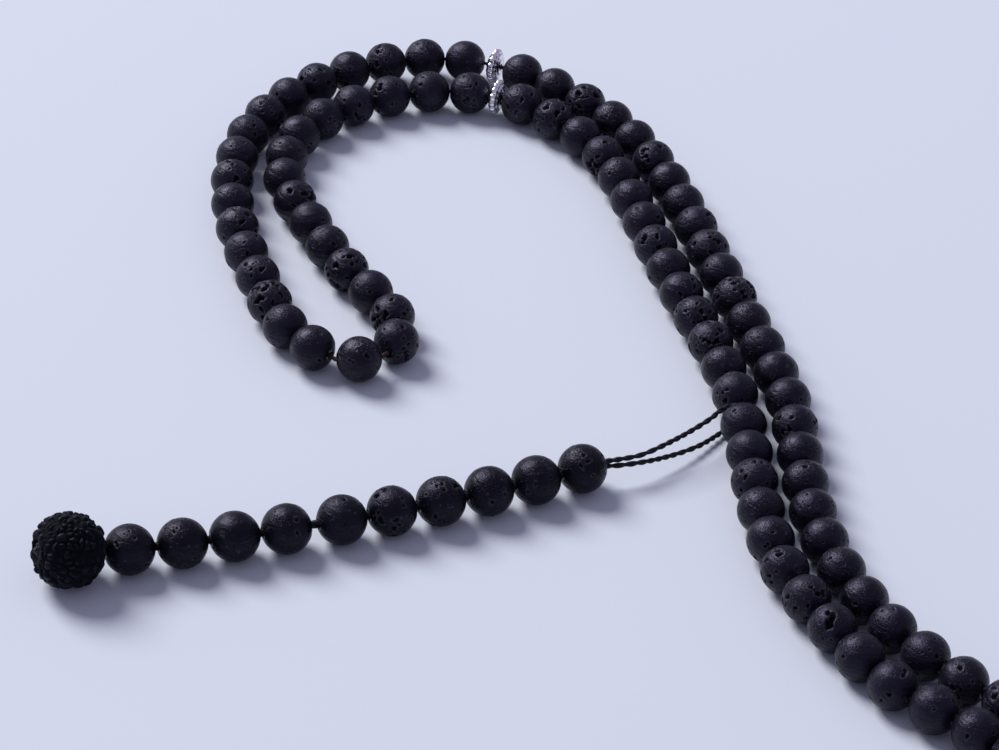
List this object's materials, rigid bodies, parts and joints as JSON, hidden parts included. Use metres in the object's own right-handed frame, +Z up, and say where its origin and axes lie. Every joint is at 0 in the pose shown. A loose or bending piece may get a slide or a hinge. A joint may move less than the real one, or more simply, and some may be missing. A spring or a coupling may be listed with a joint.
{
  "type": "mala prayer beads",
  "caption": "Closed string of round pitted stone beads with silver dividers, laid as a flattened loop, with a looped-on bead counter that ends in a knobbly seed.",
  "frame": {"origin": "on the table, under the middle of the laid string's bounding box", "axes": "+Z up from the table, +Y from the near end of the laid loop to its far end, +X to the right as it is seen from the near end"},
  "size_m": [0.1986, 0.2354, 0.0122],
  "materials": {
    "lava_stone": "pitted satin",
    "seed": "knobbly, waxed dark",
    "metal": "worn bright silver",
    "cord": "two-ply twisted"
  },
  "bodies": {
    "middle_beads_01": {"middle_beads_01": "lava_stone"},
    "middle_beads_02": {"middle_beads_02": "lava_stone"},
    "middle_beads_03": {"middle_beads_03": "lava_stone"},
    "middle_beads_04": {"middle_beads_04": "lava_stone"},
    "middle_beads_05": {"middle_beads_05": "lava_stone"},
    "middle_beads_06": {"middle_beads_06": "lava_stone", "main_thread": "cord"},
    "middle_beads_07": {"middle_beads_07": "lava_stone"},
    "middle_beads_08": {"middle_beads_08": "lava_stone"},
    "middle_beads_09": {"middle_beads_09": "lava_stone"},
    "middle_beads_10": {"middle_beads_10": "lava_stone"},
    "middle_beads_11": {"middle_beads_11": "lava_stone"},
    "first_beads_01": {"first_beads_01": "lava_stone"},
    "first_beads_02": {"first_beads_02": "lava_stone"},
    "first_beads_03": {"first_beads_03": "lava_stone"},
    "first_beads_04": {"first_beads_04": "lava_stone"},
    "first_beads_05": {"first_beads_05": "lava_stone"},
    "first_beads_06": {"first_beads_06": "lava_stone"},
    "first_beads_07": {"first_beads_07": "lava_stone"},
    "first_beads_08": {"first_beads_08": "lava_stone"},
    "first_beads_09": {"first_beads_09": "lava_stone"},
    "first_beads_10": {"first_beads_10": "lava_stone"},
    "first_beads_11": {"first_beads_11": "lava_stone"},
    "last_beads_01": {"last_beads_01": "lava_stone"},
    "last_beads_02": {"last_beads_02": "lava_stone"},
    "last_beads_03": {"last_beads_03": "lava_stone"},
    "last_beads_04": {"last_beads_04": "lava_stone"},
    "last_beads_05": {"last_beads_05": "lava_stone"},
    "last_beads_06": {"last_beads_06": "lava_stone"},
    "last_beads_07": {"last_beads_07": "lava_stone"},
    "last_beads_08": {"last_beads_08": "lava_stone"},
    "last_beads_09": {"last_beads_09": "lava_stone"},
    "last_beads_10": {"last_beads_10": "lava_stone"},
    "last_beads_11": {"last_beads_11": "lava_stone"},
    "last_beads_12": {"last_beads_12": "lava_stone", "closing_knot": "cord"},
    "divider_1": {"divider_1": "metal"},
    "divider_2": {"divider_2": "metal"},
    "divider_3": {"divider_3": "metal"},
    "counter_cord": {"counter_cord": "cord", "counter_loop": "cord"},
    "counter_bead_01": {"counter_bead_01": "lava_stone"},
    "counter_bead_02": {"counter_bead_02": "lava_stone"},
    "counter_bead_03": {"counter_bead_03": "lava_stone"},
    "counter_bead_04": {"counter_bead_04": "lava_stone"},
    "counter_bead_05": {"counter_bead_05": "lava_stone"},
    "counter_bead_06": {"counter_bead_06": "lava_stone"},
    "counter_bead_07": {"counter_bead_07": "lava_stone"},
    "counter_bead_08": {"counter_bead_08": "lava_stone"},
    "counter_bead_09": {"counter_bead_09": "lava_stone"},
    "counter_bead_10": {"counter_bead_10": "lava_stone", "tail_knot": "cord"},
    "seed_bead": {"seed_bead": "seed"}
  },
  "joints": [
    {"name": "outer_bend_01", "type": "hinge", "parent": "middle_beads_06", "child": "middle_beads_05", "pos_m": [-0.06506, 0.01705, 0.004], "axis": [0, 0, 1], "range_deg": [0, 1], "deforming": ["main_thread"]},
    {"name": "outer_bend_02", "type": "hinge", "parent": "middle_beads_05", "child": "middle_beads_04", "pos_m": [-0.07391, 0.03981, 0.004], "axis": [0, 0, 1], "range_deg": [0, 2], "deforming": ["main_thread"]},
    {"name": "outer_bend_03", "type": "hinge", "parent": "middle_beads_04", "child": "middle_beads_03", "pos_m": [-0.07878, 0.064, 0.004], "axis": [0, 0, 1], "range_deg": [0, 8], "deforming": ["main_thread"]},
    {"name": "outer_bend_04", "type": "hinge", "parent": "middle_beads_03", "child": "middle_beads_02", "pos_m": [-0.07476, 0.08818, 0.004], "axis": [0, 0, 1], "range_deg": [0, 8], "deforming": ["main_thread"]},
    {"name": "outer_bend_05", "type": "hinge", "parent": "middle_beads_02", "child": "middle_beads_01", "pos_m": [-0.06011, 0.10667, 0.004], "axis": [0, 0, 1], "range_deg": [0, 8], "deforming": ["main_thread"]},
    {"name": "outer_bend_06", "type": "hinge", "parent": "middle_beads_01", "child": "first_beads_11", "pos_m": [-0.03792, 0.11366, 0.004], "axis": [0, 0, 1], "range_deg": [0, 8], "deforming": ["main_thread"]},
    {"name": "outer_bend_07", "type": "hinge", "parent": "first_beads_11", "child": "first_beads_10", "pos_m": [-0.01417, 0.09991, 0.004], "axis": [0, 0, 1], "range_deg": [0, 8], "deforming": ["main_thread"]},
    {"name": "outer_bend_08", "type": "hinge", "parent": "first_beads_10", "child": "first_beads_09", "pos_m": [-0.00099, 0.08023, 0.004], "axis": [0, 0, 1], "range_deg": [0, 8], "deforming": ["main_thread"]},
    {"name": "outer_bend_09", "type": "hinge", "parent": "first_beads_09", "child": "first_beads_08", "pos_m": [0.00681, 0.05771, 0.004], "axis": [0, 0, 1], "range_deg": [0, 8], "deforming": ["main_thread"]},
    {"name": "outer_bend_10", "type": "hinge", "parent": "first_beads_08", "child": "first_beads_07", "pos_m": [0.01353, 0.03483, 0.004], "axis": [0, 0, 1], "range_deg": [0, 8], "deforming": ["main_thread"]},
    {"name": "outer_bend_11", "type": "hinge", "parent": "first_beads_07", "child": "first_beads_06", "pos_m": [0.02027, 0.01195, 0.004], "axis": [0, 0, 1], "range_deg": [0, 8], "deforming": ["main_thread"]},
    {"name": "outer_bend_12", "type": "hinge", "parent": "first_beads_06", "child": "first_beads_05", "pos_m": [0.02364, -0.0116, 0.004], "axis": [0, 0, 1], "range_deg": [0, 8], "deforming": ["main_thread"]},
    {"name": "outer_bend_13", "type": "hinge", "parent": "first_beads_05", "child": "first_beads_04", "pos_m": [0.02685, -0.03519, 0.004], "axis": [0, 0, 1], "range_deg": [0, 8], "deforming": ["main_thread"]},
    {"name": "outer_bend_14", "type": "hinge", "parent": "first_beads_04", "child": "first_beads_03", "pos_m": [0.03661, -0.05682, 0.004], "axis": [0, 0, 1], "range_deg": [0, 8], "deforming": ["main_thread"]},
    {"name": "outer_bend_15", "type": "hinge", "parent": "first_beads_03", "child": "first_beads_02", "pos_m": [0.05332, -0.07362, 0.004], "axis": [0, 0, 1], "range_deg": [0, 8], "deforming": ["main_thread"]},
    {"name": "outer_bend_16", "type": "hinge", "parent": "first_beads_02", "child": "first_beads_01", "pos_m": [0.07319, -0.08735, 0.004], "axis": [0, 0, 1], "range_deg": [0, 8], "deforming": ["main_thread"]},
    {"name": "inner_bend_01", "type": "hinge", "parent": "middle_beads_06", "child": "middle_beads_07", "pos_m": [-0.0516, 0.00847, 0.004], "axis": [0, 0, 1], "range_deg": [-1, 0], "deforming": ["main_thread"]},
    {"name": "inner_bend_02", "type": "hinge", "parent": "middle_beads_07", "child": "middle_beads_08", "pos_m": [-0.05095, 0.02948, 0.004], "axis": [0, 0, 1], "range_deg": [-1.2, 0], "deforming": ["main_thread"]},
    {"name": "inner_bend_03", "type": "hinge", "parent": "middle_beads_08", "child": "middle_beads_09", "pos_m": [-0.06327, 0.05087, 0.004], "axis": [0, 0, 1], "range_deg": [-3.5, 0], "deforming": ["main_thread"]},
    {"name": "inner_bend_04", "type": "hinge", "parent": "middle_beads_09", "child": "middle_beads_10", "pos_m": [-0.06953, 0.07348, 0.004], "axis": [0, 0, 1], "range_deg": [-6, 0], "deforming": ["main_thread"]},
    {"name": "inner_bend_05", "type": "hinge", "parent": "middle_beads_10", "child": "middle_beads_11", "pos_m": [-0.05842, 0.09381, 0.004], "axis": [0, 0, 1], "range_deg": [-6, 0], "deforming": ["main_thread"]},
    {"name": "inner_bend_06", "type": "hinge", "parent": "middle_beads_11", "child": "last_beads_01", "pos_m": [-0.03644, 0.10145, 0.004], "axis": [0, 0, 1], "range_deg": [-6, 0], "deforming": ["main_thread"]},
    {"name": "inner_bend_07", "type": "hinge", "parent": "last_beads_01", "child": "last_beads_02", "pos_m": [-0.01484, 0.0874, 0.004], "axis": [0, 0, 1], "range_deg": [-6, 0], "deforming": ["main_thread"]},
    {"name": "inner_bend_08", "type": "hinge", "parent": "last_beads_02", "child": "last_beads_03", "pos_m": [-0.00499, 0.06586, 0.004], "axis": [0, 0, 1], "range_deg": [-6, 0], "deforming": ["main_thread"]},
    {"name": "inner_bend_09", "type": "hinge", "parent": "last_beads_03", "child": "last_beads_04", "pos_m": [0.0017, 0.04297, 0.004], "axis": [0, 0, 1], "range_deg": [-6, 0], "deforming": ["main_thread"]},
    {"name": "inner_bend_10", "type": "hinge", "parent": "last_beads_04", "child": "last_beads_05", "pos_m": [0.00905, 0.02028, 0.004], "axis": [0, 0, 1], "range_deg": [-6, 0], "deforming": ["main_thread"]},
    {"name": "inner_bend_11", "type": "hinge", "parent": "last_beads_05", "child": "last_beads_06", "pos_m": [0.01306, 0.0049, 0.004], "axis": [0, 0, 1], "range_deg": [-6, 0], "deforming": ["main_thread", "counter_loop"]},
    {"name": "inner_bend_12", "type": "hinge", "parent": "last_beads_06", "child": "last_beads_07", "pos_m": [0.01581, -0.01994, 0.004], "axis": [0, 0, 1], "range_deg": [-6, 0], "deforming": ["main_thread"]},
    {"name": "inner_bend_13", "type": "hinge", "parent": "last_beads_07", "child": "last_beads_08", "pos_m": [0.02015, -0.04333, 0.004], "axis": [0, 0, 1], "range_deg": [-6, 0], "deforming": ["main_thread"]},
    {"name": "inner_bend_14", "type": "hinge", "parent": "last_beads_08", "child": "last_beads_09", "pos_m": [0.0312, -0.06443, 0.004], "axis": [0, 0, 1], "range_deg": [-6, 0], "deforming": ["main_thread"]},
    {"name": "inner_bend_15", "type": "hinge", "parent": "last_beads_09", "child": "last_beads_10", "pos_m": [0.04812, -0.08097, 0.004], "axis": [0, 0, 1], "range_deg": [-6, 0], "deforming": ["main_thread"]},
    {"name": "inner_bend_16", "type": "hinge", "parent": "last_beads_10", "child": "last_beads_11", "pos_m": [0.06353, -0.09917, 0.004], "axis": [0, 0, 1], "range_deg": [-6, 0], "deforming": ["main_thread"]},
    {"name": "inner_bend_17", "type": "hinge", "parent": "last_beads_11", "child": "last_beads_12", "pos_m": [0.08284, -0.11366, 0.004], "axis": [0, 0, 1], "range_deg": [-6, 0], "deforming": ["main_thread"]},
    {"name": "divider_1_turn", "type": "hinge", "parent": "first_beads_11", "child": "divider_1", "pos_m": [-0.032, 0.11245, 0.004], "axis": [-0.9479, 0.3184, 0], "continuous": true},
    {"name": "divider_2_turn", "type": "hinge", "parent": "last_beads_01", "child": "divider_2", "pos_m": [-0.03118, 0.10051, 0.004], "axis": [0.9534, -0.3017, 0], "continuous": true},
    {"name": "divider_3_turn", "type": "hinge", "parent": "last_beads_12", "child": "divider_3", "pos_m": [0.0966, -0.1084, 0.004], "axis": [0.6933, 0.7206, 0], "continuous": true},
    {"name": "counter_swing", "type": "hinge", "parent": "last_beads_05", "child": "counter_cord", "pos_m": [0.0137, 0.0004, 0.004], "axis": [0, 0, 1], "range_deg": [-6, 6], "deforming": ["counter_loop"]},
    {"name": "counter_bead_slide", "type": "slide", "parent": "counter_cord", "child": "counter_bead_01", "axis": [0.8831, 0.4691, 0], "range_m": [0, 0.005], "deforming": ["counter_loop"]},
    {"name": "counter_bend_01", "type": "hinge", "parent": "counter_cord", "child": "counter_bead_02", "pos_m": [-0.01272, -0.01968, 0.0042], "axis": [0, 0, 1], "range_deg": [-4, 4], "deforming": ["counter_cord"]},
    {"name": "counter_bend_02", "type": "hinge", "parent": "counter_bead_02", "child": "counter_bead_03", "pos_m": [-0.02024, -0.02368, 0.0042], "axis": [0, 0, 1], "range_deg": [-4, 4], "deforming": ["counter_cord"]},
    {"name": "counter_bend_03", "type": "hinge", "parent": "counter_bead_03", "child": "counter_bead_04", "pos_m": [-0.02786, -0.02749, 0.0042], "axis": [0, 0, 1], "range_deg": [-4, 4], "deforming": ["counter_cord"]},
    {"name": "counter_bend_04", "type": "hinge", "parent": "counter_bead_04", "child": "counter_bead_05", "pos_m": [-0.03557, -0.03111, 0.0042], "axis": [0, 0, 1], "range_deg": [-4, 4], "deforming": ["counter_cord"]},
    {"name": "counter_bend_05", "type": "hinge", "parent": "counter_bead_05", "child": "counter_bead_06", "pos_m": [-0.04336, -0.03455, 0.0042], "axis": [0, 0, 1], "range_deg": [-4, 4], "deforming": ["counter_cord"]},
    {"name": "counter_bend_06", "type": "hinge", "parent": "counter_bead_06", "child": "counter_bead_07", "pos_m": [-0.05124, -0.03779, 0.0042], "axis": [0, 0, 1], "range_deg": [-4, 4], "deforming": ["counter_cord"]},
    {"name": "counter_bend_07", "type": "hinge", "parent": "counter_bead_07", "child": "counter_bead_08", "pos_m": [-0.0599, -0.04111, 0.0042], "axis": [0, 0, 1], "range_deg": [-4, 4], "deforming": ["counter_cord"]},
    {"name": "counter_bend_08", "type": "hinge", "parent": "counter_bead_08", "child": "counter_bead_09", "pos_m": [-0.06792, -0.04396, 0.0042], "axis": [0, 0, 1], "range_deg": [-4, 4], "deforming": ["counter_cord"]},
    {"name": "counter_bend_09", "type": "hinge", "parent": "counter_bead_09", "child": "counter_bead_10", "pos_m": [-0.07602, -0.04662, 0.0042], "axis": [0, 0, 1], "range_deg": [-4, 4], "deforming": ["counter_cord"]},
    {"name": "seed_turn", "type": "hinge", "parent": "counter_bead_10", "child": "seed_bead", "pos_m": [-0.09324, -0.05283, 0.0062], "axis": [-0.9054, -0.3746, 0.1998], "continuous": true}
  ]
}
